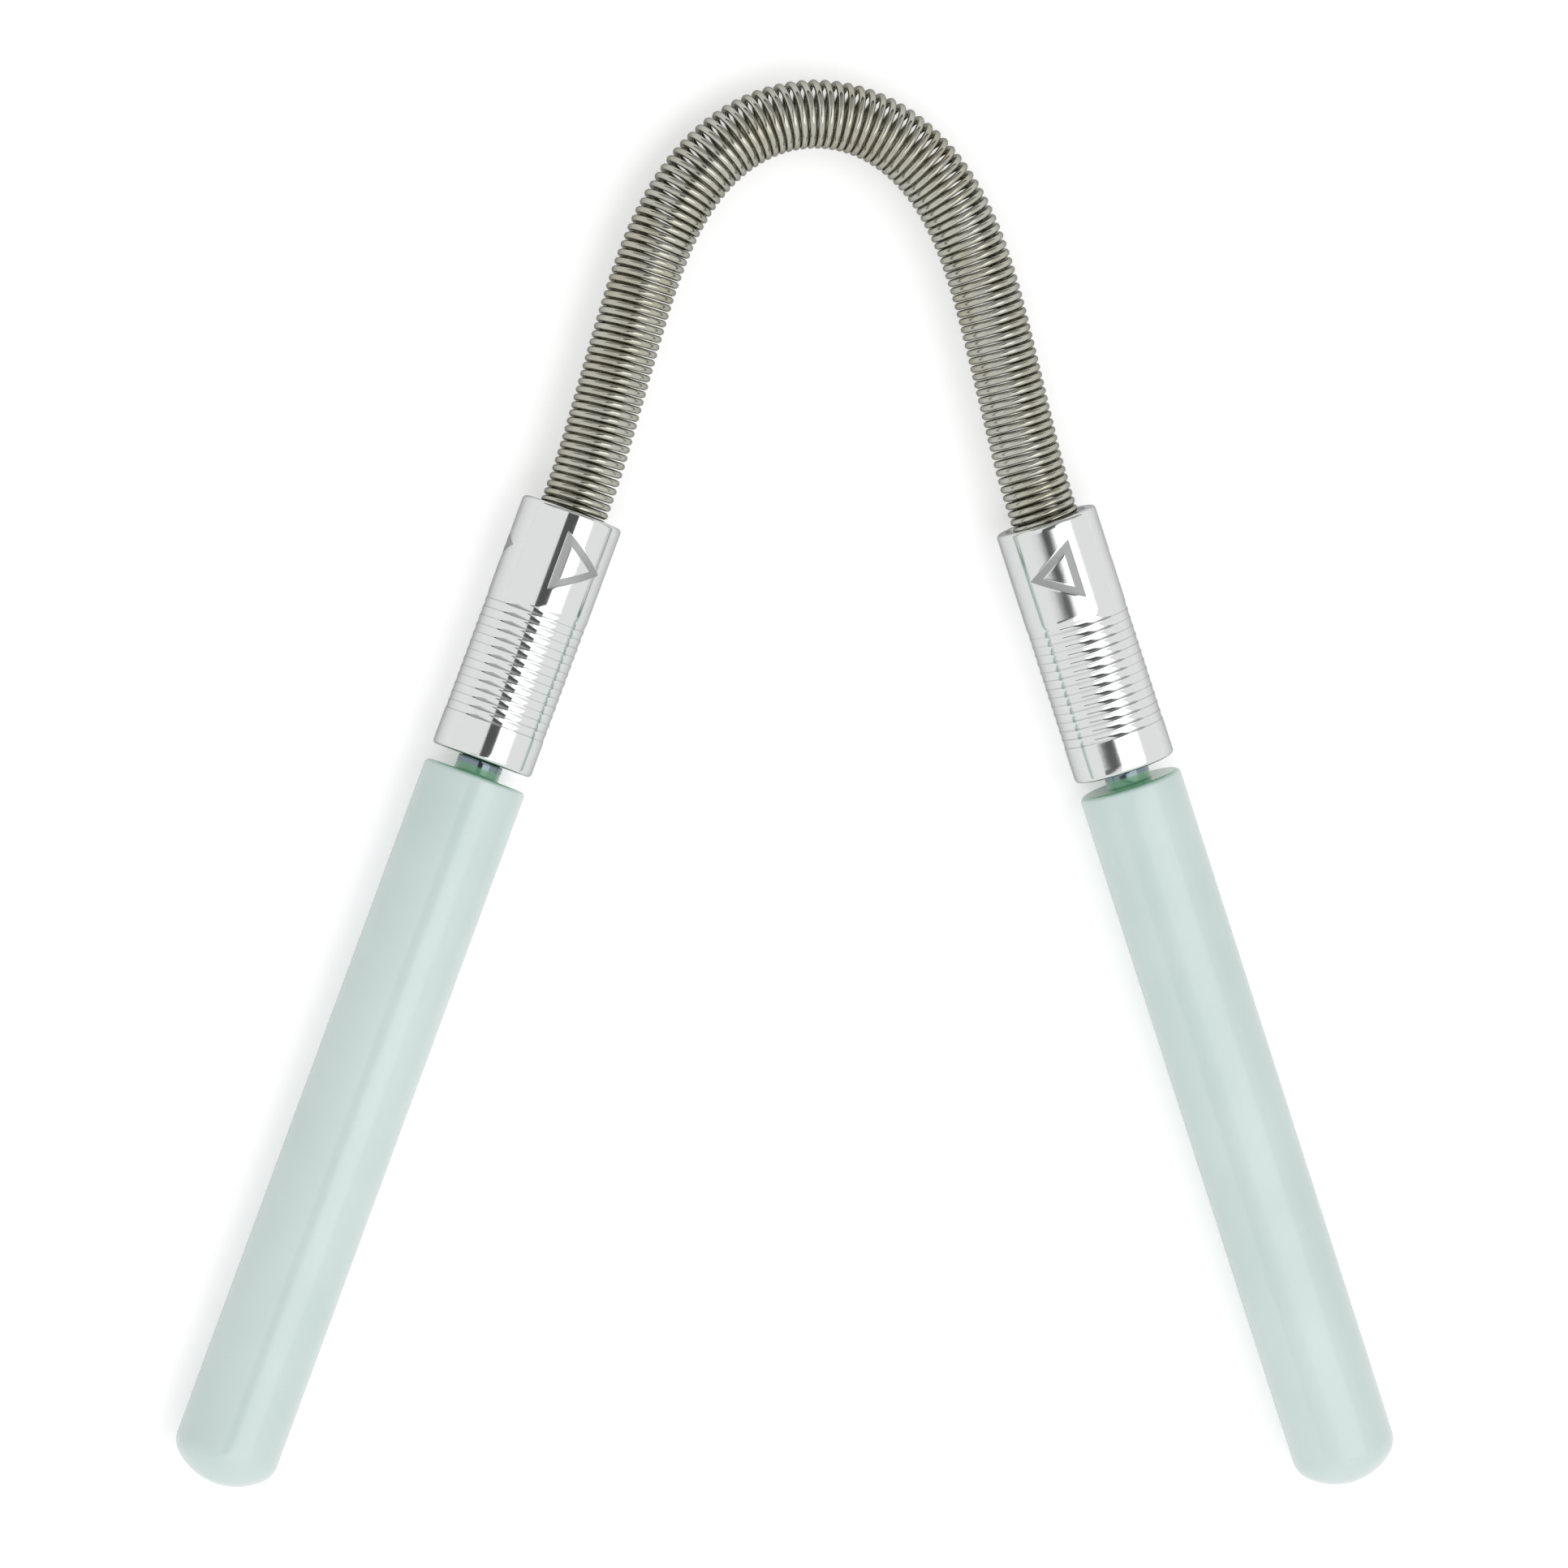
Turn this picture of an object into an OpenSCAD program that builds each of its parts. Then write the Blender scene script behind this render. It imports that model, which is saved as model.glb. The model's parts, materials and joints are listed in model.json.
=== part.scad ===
// Facial hair remover: a close-wound coil spring bent into a U, with a ring-grooved ferrule
// and a swivelling handle on each end. It lies on a flat surface, coil plane level, +Z up,
// the bend towards +Y and the handle tips towards -Y. Millimetres and degrees.

/* [Coil] */
// Diameter of the spring wire
wire_d = 0.55; // [0.45:0.01:0.6]
// Outer diameter of the coil
coil_od = 5.25; // [4.8:0.05:5.6]
// Length of the coil's centreline between the two ferrule mouths
coil_length = 76.3; // [74:0.1:90]
// Air between neighbouring turns on the straight legs
leg_gap = 0.07; // [0.04:0.01:0.12]
// Air between neighbouring turns on the inside of the bend
bend_gap = 0.02; // [0.02:0.01:0.05]
// How far the coil reaches into each ferrule
coil_seat = 3.5; // [3:0.1:4]
// Straight stretches that make up one turn
turn_sides = 12; // [8:1:12]

/* [Bend] */
// Length of the centreline that is bent
bend_length = 55.2; // [50:0.1:60]
// Lean of each straight leg away from the middle line
leg_angle = 15.1; // [10:0.1:18]
// Lean of each ferrule and handle away from the middle line
arm_angle = 19.4; // [18:0.1:24]
// Length over which a leg swings into line with its ferrule
mouth_bow = 6.9; // [5:0.1:9]

/* [Ferrules] */
// Outer diameter
ferrule_d = 7.9; // [7.6:0.05:8]
// Length from the mouth to the end face
ferrule_length = 20; // [19:0.1:24]
// Rounding of the outer edges
ferrule_edge = 0.3; // [0.1:0.05:0.5]
// Diameter of the countersunk mouth
mouth_d = 6.3; // [6:0.05:6.6]
// Depth of the countersink
mouth_depth = 1.2; // [0.4:0.1:1.4]
// Air between the coil and the bore
coil_clearance = 0.05; // [0.03:0.01:0.08]
// Thickness of the end wall that the handle's journal runs in
end_wall = 1.6; // [1.2:0.1:2.4]

/* [Grip rings] */
// Number of rings
ring_count = 14; // [8:1:14]
// Distance from one ring to the next
ring_pitch = 0.68; // [0.6:0.01:0.74]
// Depth of the hollow ground between two ridges
ring_depth = 0.07; // [0.04:0.01:0.12]
// Width left standing on each ridge
ring_land = 0.06; // [0.04:0.01:0.1]
// Distance from the mouth to the first ring
ring_start = 7.7; // [7:0.1:8.4]

/* [Turning arrows] */
// Number of engraved triangles round each ferrule
arrow_count = 3; // [1:1:3]
// Size of a triangle round the ferrule, from its base to its point
arrow_length = 3.7; // [2.6:0.1:4]
// Size of a triangle along the ferrule
arrow_width = 4.5; // [3:0.1:5]
// Width of the engraved line
arrow_line = 0.5; // [0.3:0.05:0.7]
// Depth of the engraved line
arrow_depth = 0.05; // [0.03:0.01:0.1]
// Distance from the mouth to the middle of a triangle
arrow_place = 3.9; // [3.6:0.1:4.4]
// Turn of the first triangle from the top of the ferrule towards the middle line
arrow_turn = 22; // [0:1:60]

/* [Spring plug] */
// Distance from the mouth down to the end of the shank that fills the coil
plug_set_back = 0.8; // [0.5:0.1:1.5]
// Thickness of the flange that closes the bore
plug_flange = 1.5; // [1:0.1:2.5]
// Air round the shank and round the flange
plug_clearance = 0.03; // [0.02:0.01:0.05]
// Chamfer on the end of the shank
plug_chamfer = 0.4; // [0.2:0.1:0.8]

/* [Swivel] */
// Diameter of the journal in the ferrule's end wall
journal_d = 3; // [2.8:0.05:3.2]
// Running clearance round the journal
journal_clearance = 0.05; // [0.02:0.01:0.08]
// Diameter of the bare neck
neck_d = 3.5; // [3.4:0.05:4]
// Length of the bare neck between the ferrule and the handle
neck_gap = 1.2; // [0.8:0.1:2]
// Air between the neck's shoulder and the ferrule's end face
shoulder_gap = 0.05; // [0.03:0.01:0.1]
// Air between the washer and the inside of the end wall
end_play = 0.1; // [0.05:0.01:0.2]
// Outer diameter of the thrust washer
washer_d = 4.8; // [4.4:0.1:5]
// Thickness of the thrust washer
washer_t = 0.3; // [0.2:0.05:0.5]
// Diameter of the retaining screw
screw_d = 2; // [1.6:0.1:2.2]
// Length of the screw below its head
screw_length = 9; // [6:0.1:12]
// Diameter of the screw's head
screw_head_d = 3.8; // [3.4:0.1:4.2]
// Height of the screw's head
screw_head_h = 2; // [1.4:0.1:2.4]
// Width across the flats of the hexagon socket
key_size = 1.5; // [1.2:0.1:1.6]
// Depth of the hexagon socket
key_depth = 1; // [0.6:0.1:1.2]
// Air round the screw in the washer and in the handle
screw_clearance = 0.03; // [0.02:0.01:0.05]

/* [Handles] */
// Outer diameter
handle_d = 8; // [8:0.05:9]
// Length from the flat top to the domed tip
handle_length = 57; // [40:0.5:80]
// Rounding of the top edge
handle_edge = 0.4; // [0.2:0.05:0.8]
// Radius of the dome at the tip
tip_radius = 4.9; // [4.6:0.1:6]
// Radius of the shoulder between the side and the dome
tip_shoulder = 2; // [1.5:0.1:2.5]
// Depth of the drilled hole past the end of the screw
drill_extra = 1; // [0.5:0.1:2]

/* [Hidden] */
$fn = 64;
cut = 1;

steel = "#b9b7ad";
aluminium = "#dfe2e3";
brass = "#c9b26a";
mint = "#c9dad6";

// Coil
half_length = coil_length / 2;
half_bend = bend_length / 2;
coil_r = (coil_od - wire_d) / 2;
coil_end = half_length + coil_seat - wire_d / 2;
bend_turn = 90 - leg_angle;

// Ferrule, from the mouth (0) to the end face (ferrule_length)
ferrule_r = ferrule_d / 2;
bore_d = coil_od + 2 * coil_clearance;
wall_in = ferrule_length - end_wall;
ring_chord = ring_pitch - ring_land;
ring_r = (pow(ring_chord / 2, 2) + pow(ring_depth, 2)) / (2 * ring_depth);

// Plug
plug_d = (coil_od - 2 * wire_d) * cos(180 / turn_sides) - 2 * plug_clearance;
plug_face = coil_seat;
plug_shank = plug_face - plug_set_back;

// Swivel and handle, measured from the same mouth
neck_top = ferrule_length + shoulder_gap;
journal_top = wall_in - end_play;
handle_top = ferrule_length + neck_gap;
handle_tip = handle_top + handle_length;
screw_seat = journal_top - washer_t;
handle_r = handle_d / 2;
shoulder_r = handle_r - tip_shoulder;
dome_centre = handle_tip - tip_radius;
shoulder_at = dome_centre + sqrt(pow(tip_radius - tip_shoulder, 2) - pow(shoulder_r, 2));

// Tangent of the centreline, turned clockwise from +X, at length s from the top of the bend
function smooth(t) = let (c = min(max(t, 0), 1)) c * c * (3 - 2 * c);
function bend_part(s) = let (u = min(s / half_bend, 1)) u + sin(180 * u) / PI;
function bow_part(s) = smooth((s - half_length + mouth_bow) / mouth_bow);
function tangent(s) = bend_turn * bend_part(s) - (arm_angle - leg_angle) * bow_part(s);
function heading(s) = [cos(tangent(s)), -sin(tangent(s))];
function inward(s) = [-sin(tangent(s)), -cos(tangent(s))];

// Bending of the centreline, in radians per millimetre
step = 0.01;
function bending(s) = (tangent(s + step) - tangent(s)) / step * PI / 180;

// Pitch that leaves the wanted air on the tighter side of the coil
function bend_share(s) = (1 + cos(180 * min(s / half_bend, 1))) / 2;
function air(s) = leg_gap + (bend_gap - leg_gap) * bend_share(s);
function pitch(s) = (wire_d + air(s)) / (1 - abs(bending(s)) * coil_r);

// Centreline from the top of the bend to the end in the ferrule, one entry for each side of
// a turn: [length, point]. Simpson's rule adds up the headings between two entries
function advance(s, d) = (heading(s) + 4 * heading(s + d / 2) + heading(s + d)) * d / 6;
path = [
    for (s = 0, p = [0, 0], d = pitch(0) / turn_sides; s <= coil_end;
         p = p + advance(s, d), s = s + d, d = pitch(s) / turn_sides) [s, p]
];
path_end = len(path) - 1;
function along(s, n = 200) = s / n * (
    [for (i = [1:n]) 1] * [for (i = [0:n - 1]) heading(s * (i + 0.5) / n)]
);
mouth = along(half_length);

// The origin is under the middle of the whole outline, on the surface it lies on
axis_h = handle_r;
outline_top = coil_od / 2;
outline_bottom = mouth.y - dome_centre * cos(arm_angle) - tip_radius;
shift_y = -(outline_top + outline_bottom) / 2;

// Section of the wire at entry k, counted from the top of the bend, negative to the left.
// The wire lies inside the bend at every full turn and winds as a right-handed thread
wire_corners = 4;
function wire_section(k) =
    let (
        entry = path[abs(k)],
        side = k < 0 ? -1 : 1,
        turn = 360 * k / turn_sides,
        inner = [side * inward(entry[0]).x, inward(entry[0]).y, 0],
        ahead = [heading(entry[0]).x, side * heading(entry[0]).y, 0],
        out = cos(turn) * inner - sin(turn) * [0, 0, 1],
        centre = [side * entry[1].x, entry[1].y, 0] + coil_r * out
    )
    [
        for (c = [0:wire_corners - 1])
            centre + wire_d / 2 * (cos(360 * c / wire_corners) * out + sin(360 * c / wire_corners) * ahead)
    ];

module coil_spring() {
    sections = 2 * path_end + 1;
    points = [for (k = [-path_end:path_end]) each wire_section(k)];
    sides = [
        for (i = [0:sections - 2], c = [0:wire_corners - 1])
            let (a = i * wire_corners, n = (c + 1) % wire_corners)
                [a + c, a + n, a + n + wire_corners, a + c + wire_corners]
    ];
    start = [for (c = [wire_corners - 1:-1:0]) c];
    finish = [for (c = [0:wire_corners - 1]) (sections - 1) * wire_corners + c];
    color(steel)
        translate([0, shift_y, axis_h])
            polyhedron(points, concat(sides, [start, finish]), convexity = 10);
}

// Places the right arm, whose own axis runs from the mouth along +Z with +Y upwards
module on_arm() {
    translate([mouth.x, mouth.y + shift_y, axis_h])
        rotate([0, 0, arm_angle])
            rotate([90, 0, 0])
                children();
}

module on_left() {
    mirror([1, 0, 0]) on_arm() children();
}

module rounded_half(r, z0, z1, edge0, edge1) {
    translate([0, z0]) square([r - max(edge0, edge1), z1 - z0]);
    translate([0, z0 + edge0]) square([r, z1 - z0 - edge0 - edge1]);
    translate([0, z0 + edge0]) square([r - edge0, edge0]);
    if (edge0 > 0) translate([r - edge0, z0 + edge0]) circle(r = edge0);
    if (edge1 > 0) translate([r - edge1, z1 - edge1]) circle(r = edge1);
}

module arrow_outline() {
    back = arrow_length / 2;
    side = norm([arrow_length, arrow_width / 2]);
    inner_r = arrow_length * arrow_width / (2 * side + arrow_width);
    centre = back - inner_r;
    tri = [[-back, 0], [back, arrow_width / 2], [back, -arrow_width / 2]];
    difference() {
        polygon(tri);
        translate([centre, 0])
            scale((inner_r - arrow_line) / inner_r)
                translate([-centre, 0])
                    polygon(tri);
    }
}

module arrows() {
    difference() {
        for (i = [0:arrow_count - 1])
            rotate([0, 0, arrow_turn + i * 360 / arrow_count])
                translate([0, 0, arrow_place])
                    rotate([-90, 0, 0])
                        linear_extrude(height = ferrule_d)
                            arrow_outline();
        cylinder(r = ferrule_r - arrow_depth, h = ferrule_length);
    }
}

module ferrule() {
    color(aluminium)
        difference() {
            rotate_extrude()
                difference() {
                    rounded_half(ferrule_r, 0, ferrule_length, ferrule_edge, ferrule_edge);
                    for (i = [0:ring_count - 1])
                        translate([ferrule_r - ring_depth + ring_r, ring_start + (i + 0.5) * ring_pitch])
                            circle(r = ring_r);
                }
            translate([0, 0, -cut])
                cylinder(d = bore_d, h = wall_in + cut);
            cylinder(d1 = mouth_d, d2 = bore_d, h = mouth_depth);
            cylinder(d = journal_d + 2 * journal_clearance, h = ferrule_length + cut);
            arrows();
        }
}

module spring_plug() {
    color(brass) {
        translate([0, 0, plug_face])
            cylinder(d = bore_d - 2 * plug_clearance, h = plug_flange);
        translate([0, 0, plug_face - plug_shank + plug_chamfer])
            cylinder(d = plug_d, h = plug_shank - plug_chamfer);
        translate([0, 0, plug_face - plug_shank])
            cylinder(d1 = plug_d - 2 * plug_chamfer, d2 = plug_d, h = plug_chamfer);
    }
}

module thrust_washer() {
    color(brass)
        translate([0, 0, screw_seat])
            difference() {
                cylinder(d = washer_d, h = washer_t);
                translate([0, 0, -cut])
                    cylinder(d = screw_d + 2 * screw_clearance, h = washer_t + 2 * cut);
            }
}

module retaining_screw() {
    color(steel)
        difference() {
            union() {
                translate([0, 0, screw_seat - screw_head_h])
                    cylinder(d = screw_head_d, h = screw_head_h);
                translate([0, 0, screw_seat])
                    cylinder(d = screw_d, h = screw_length);
            }
            translate([0, 0, screw_seat - screw_head_h - cut])
                cylinder(d = key_size / cos(30), h = key_depth + cut, $fn = 6);
        }
}

module handle_half() {
    rounded_half(handle_r, handle_top, shoulder_at, handle_edge, 0);
    translate([shoulder_r, shoulder_at]) circle(r = tip_shoulder);
    translate([0, dome_centre])
        intersection() {
            circle(r = tip_radius, $fn = 128);
            polygon([[0, 0], 2 * [shoulder_r, shoulder_at - dome_centre], [0, 2 * tip_radius]]);
        }
}

module handle() {
    color(mint)
        difference() {
            union() {
                rotate_extrude() handle_half();
                translate([0, 0, neck_top])
                    cylinder(d = neck_d, h = handle_top - neck_top + handle_edge);
                translate([0, 0, journal_top])
                    cylinder(d = journal_d, h = handle_top - journal_top);
            }
            translate([0, 0, journal_top - cut])
                cylinder(
                    d = screw_d + 2 * screw_clearance,
                    h = screw_length - washer_t + drill_extra + cut
                );
        }
}

module left_ferrule() { on_left() ferrule(); }
module left_spring_plug() { on_left() spring_plug(); }
module left_retaining_screw() { on_left() retaining_screw(); }
module left_thrust_washer() { on_left() thrust_washer(); }
module left_handle() { on_left() handle(); }
module right_ferrule() { on_arm() ferrule(); }
module right_spring_plug() { on_arm() spring_plug(); }
module right_retaining_screw() { on_arm() retaining_screw(); }
module right_thrust_washer() { on_arm() thrust_washer(); }
module right_handle() { on_arm() handle(); }

coil_spring();
left_ferrule();
left_spring_plug();
left_retaining_screw();
left_thrust_washer();
left_handle();
right_ferrule();
right_spring_plug();
right_retaining_screw();
right_thrust_washer();
right_handle();
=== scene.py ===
"""Looks of a facial hair remover: a close-wound spring bent into a U between two handles.

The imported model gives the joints, and so the two arms and the top of the bend. The coil, the
ferrules and the handles are worked out from them and from the sizes in the settings below. The
hidden plugs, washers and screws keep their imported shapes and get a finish.
Lengths are metres. MM turns the millimetres of the settings into metres.
"""

import json
import math

import bpy
import numpy as np
from mathutils import Matrix, Vector


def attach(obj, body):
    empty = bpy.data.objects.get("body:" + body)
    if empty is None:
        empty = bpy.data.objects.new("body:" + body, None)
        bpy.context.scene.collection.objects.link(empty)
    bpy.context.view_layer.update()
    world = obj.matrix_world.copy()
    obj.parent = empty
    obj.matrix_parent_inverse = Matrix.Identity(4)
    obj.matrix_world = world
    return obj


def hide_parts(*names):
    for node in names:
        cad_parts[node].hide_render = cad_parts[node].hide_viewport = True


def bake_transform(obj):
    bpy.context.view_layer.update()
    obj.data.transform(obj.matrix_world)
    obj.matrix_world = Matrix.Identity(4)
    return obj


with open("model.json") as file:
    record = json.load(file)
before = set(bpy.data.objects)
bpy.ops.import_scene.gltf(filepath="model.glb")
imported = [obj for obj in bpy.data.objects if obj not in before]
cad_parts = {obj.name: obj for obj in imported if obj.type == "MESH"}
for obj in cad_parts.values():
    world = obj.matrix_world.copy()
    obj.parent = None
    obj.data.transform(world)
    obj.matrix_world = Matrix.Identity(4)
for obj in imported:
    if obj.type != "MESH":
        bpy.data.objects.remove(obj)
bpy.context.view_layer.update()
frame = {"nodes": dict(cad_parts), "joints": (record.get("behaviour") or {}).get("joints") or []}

bl_info = {
    "name": "Facial hair remover",
    "version": (1, 0, 0),
    "blender": (4, 5, 0),
    "location": "View3D > Sidebar > Hair remover",
    "description": "Builds and lights a bent-spring facial hair remover",
    "category": "Object",
}

MM = 0.001
TAU = 2 * math.pi
joints = {j["name"]: j for j in frame["joints"]}


# Settings


def length(name, millimetres, about, least=0):
    """A setting for a length, written in millimetres and kept in metres."""
    return bpy.props.FloatProperty(
        name=name, description=about, default=millimetres * MM, min=least, precision=5,
        subtype="DISTANCE", unit="LENGTH",
    )


def angle(name, degrees, about):
    """A setting for an angle, written in degrees and kept in radians."""
    return bpy.props.FloatProperty(
        name=name, description=about, default=math.radians(degrees),
        subtype="ANGLE", unit="ROTATION",
    )


def number(name, value, about):
    """A setting for a plain number."""
    return bpy.props.FloatProperty(name=name, description=about, default=value, min=0, precision=3)


def count(name, value, about):
    """A setting for a whole number."""
    return bpy.props.IntProperty(name=name, description=about, default=value, min=1)


def linear(hex_colour):
    """The linear red, green and blue of a colour written as six hexadecimal digits."""
    share = np.array([int(hex_colour[i : i + 2], 16) for i in (1, 3, 5)]) / 255
    return tuple(np.where(share <= 0.04045, share / 12.92, ((share + 0.055) / 1.055) ** 2.4))


def colour(name, hex_colour, about):
    """A setting for a colour, written as it shows on a screen and kept linear."""
    return bpy.props.FloatVectorProperty(
        name=name, description=about, default=linear(hex_colour), min=0, max=1, size=3,
        subtype="COLOR",
    )


class CoilSettings(bpy.types.PropertyGroup):
    """Sizes and colours of the coil spring."""

    wire: length("Wire", 0.55, "Diameter of the spring wire")
    outer: length("Outer diameter", 5.25, "Outer diameter of the coil")
    bare: length("Bare length", 76.3, "Centreline between the two ferrule mouths")
    bent: length("Bent length", 55.2, "Length of the centreline that is bent")
    bow: length("Mouth bow", 6.9, "Length over which a leg swings into line with its ferrule")
    seat: length("Seat", 3.5, "How far the coil reaches into each ferrule")
    leg_air: length("Air on the legs", 0.07, "Air between turns on the straight legs")
    bend_air: length("Air in the bend", 0.02, "Air between turns on the inside of the bend")
    leg_lean: angle("Leg lean", 15.1, "Lean of each straight leg away from the middle line")
    turn_steps: count("Steps in a turn", 48, "Sections of the wire in one turn")
    wire_sides: count("Wire sides", 14, "Points round one section of the wire")
    steel: colour("Steel", "#C1C0B6", "Drawn spring steel")
    straw: colour("Straw tint", "#ABA590", "Warm tint that heat leaves on the wire")


class FerruleSettings(bpy.types.PropertyGroup):
    """Sizes and colours of the two ferrules."""

    outer: length("Outer diameter", 7.9, "Outer diameter of a ferrule")
    long: length("Length", 20, "From the mouth to the end face")
    edge: length("Edge", 0.3, "Rounding of the outer edges")
    bore: length("Bore", 5.35, "Diameter of the socket for the coil")
    mouth: length("Mouth", 6.3, "Diameter of the countersunk mouth")
    mouth_deep: length("Countersink", 1.2, "Depth of the countersink")
    end_wall: length("End wall", 1.6, "Wall that the handle's journal runs in")
    journal_hole: length("Journal hole", 3.1, "Hole in the end wall")
    rings: count("Grip rings", 14, "Number of grip rings")
    ring_pitch: length("Ring pitch", 0.68, "Distance from one ring to the next")
    ring_deep: length("Ring depth", 0.055, "Depth of the hollow between two ridges")
    ring_land: length("Ridge", 0.06, "Width left standing on each ridge")
    ring_start: length("First ring", 7.7, "Distance from the mouth to the first ring")
    arrows: count("Arrows", 3, "Number of etched triangles round a ferrule")
    arrow_long: length("Arrow length", 3.7, "Size of a triangle round the ferrule")
    arrow_wide: length("Arrow width", 4.5, "Size of a triangle along the ferrule")
    arrow_line: length("Arrow line", 0.5, "Width of the etched line")
    arrow_deep: length("Arrow depth", 0.03, "Depth of the etched line")
    arrow_place: length("Arrow place", 3.9, "From the mouth to the middle of a triangle")
    arrow_turn: angle("Arrow turn", 22, "Turn of the first triangle from the top inwards")
    columns: count("Columns", 300, "Points round a ferrule")
    metal: colour("Aluminium", "#E2E5E3", "Polished aluminium")
    # Painted shade: a darker line in each grip ring that stands for the shade and dark reflection
    # in the groove.
    ring_shade_colour: colour("Groove line", "#BDC0BF", "Dull line that the cutter left in each ring")
    etch: colour("Etched line", "#ADB0AF", "Dull floor of the etched lines")


class HandleSettings(bpy.types.PropertyGroup):
    """Sizes and colours of the two handles."""

    outer: length("Outer diameter", 8, "Outer diameter of a handle")
    long: length("Length", 57, "From the flat top to the domed tip")
    edge: length("Edge", 0.4, "Rounding of the top edge")
    tip: length("Tip radius", 4.9, "Radius of the dome at the tip")
    shoulder: length("Shoulder", 2, "Radius between the side and the dome")
    neck: length("Neck", 3.5, "Diameter of the neck")
    neck_gap: length("Neck length", 1.2, "From the ferrule to the flat top of the handle")
    shoulder_gap: length("Shoulder gap", 0.05, "Air between the neck's shoulder and the ferrule")
    journal: length("Journal", 3, "Diameter of the journal in the ferrule")
    end_play: length("End play", 0.1, "Air between the washer and the end wall")
    hole: length("Screw hole", 2.06, "Hole for the retaining screw")
    hole_deep: length("Hole depth", 9.7, "Depth of the hole from the journal's end")
    columns: count("Columns", 160, "Points round a handle")
    lacquer: colour("Lacquer", "#CEDEDB", "Pale mint lacquer")
    deep: colour("Lacquer in depth", "#BED2CF", "The lacquer where its coat is thicker")
    # Painted shade: the deeper green that the neck and the handle's flat top show in the gap under
    # the ferrule.
    neck_shade_green: colour("Pooled lacquer", "#79B893", "The lacquer that gathers at the neck")
    # Painted shade: the metal is bare here, and its darker blue-grey on the neck stands for the
    # shade of the gap.
    bare: colour("Bare metal", "#7E8B93", "Journal and neck next to the ferrule, past the lacquer")


class InnerSettings(bpy.types.PropertyGroup):
    """Colours of the plugs, washers and screws inside the ferrules."""

    brass: colour("Brass", "#DFC88A", "Turned brass of the plugs and washers")
    dull_brass: colour("Dull brass", "#B59A5C", "The brass where it has dulled")
    steel: colour("Screw steel", "#C8C9CA", "Machined steel of the screws")
    oiled_steel: colour("Oiled steel", "#9A9B9C", "The steel under its film of oil")


class StageSettings(bpy.types.PropertyGroup):
    """Camera, floor and light."""

    yaw: angle("Camera yaw", 10.70, "Turn of the view to the left of straight down")
    pitch: angle("Camera pitch", 2.81, "Tilt of the view towards the bend")
    roll: angle("Camera roll", -1.17, "Roll of the picture")
    aim_x: length("Aim across", -1.60, "Point that the camera looks at, to the right", least=-1)
    aim_y: length("Aim along", 0.05, "Point that the camera looks at, towards the bend", least=-1)
    scale: number("Picture scale", 16.196, "Pixels of the photograph to a millimetre")
    distance: length("Camera distance", 750, "From the camera to the object")
    floor: colour("Floor", "#ECECEC", "Colour of the plain floor")
    card: colour("Dark card", "#666666", "Card that darkens a stripe of each reflection")
    wall: colour("Wall foot", "#161616", "Foot of the dark wall behind the bend")
    wall_top: colour("Wall top", "#D0D0D0", "Top of the wall behind the bend")
    lift: number("Floor lift", 0.36, "Added to the floor as the camera sees it")
    mirrored: number("Mirrored lift", 0.35, "Share of the lift that metal and glass see")
    sky: number("Ambient level", 0.93, "Strength of the light from all round")
    key: number("Key level", 0.85, "Brightness of the right-hand soft light")
    fill: number("Fill level", 0.8, "Brightness of the middle light, which metal doesn't mirror")


class HairRemoverSettings(bpy.types.PropertyGroup):
    """All the settings, group by group."""

    coil: bpy.props.PointerProperty(type=CoilSettings, name="Coil", description="The spring")
    ferrule: bpy.props.PointerProperty(
        type=FerruleSettings, name="Ferrule", description="Both ferrules"
    )
    handle: bpy.props.PointerProperty(
        type=HandleSettings, name="Handle", description="Both handles"
    )
    inner: bpy.props.PointerProperty(
        type=InnerSettings, name="Inner parts", description="Plugs, washers and screws"
    )
    stage: bpy.props.PointerProperty(
        type=StageSettings, name="Stage", description="Camera, floor and light"
    )


# Meshes


POLE = 1e-9  # a ring no wider than this, in metres, is one point


def triangulated_volume(points, faces):
    """Volume inside a closed mesh: the sum of a . (b x c) / 6 over its triangles."""
    a, b, c = (points[faces[:, k]] for k in range(3))
    return float(np.einsum("ij,ij->i", a, np.cross(b, c)).sum() / 6)


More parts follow.
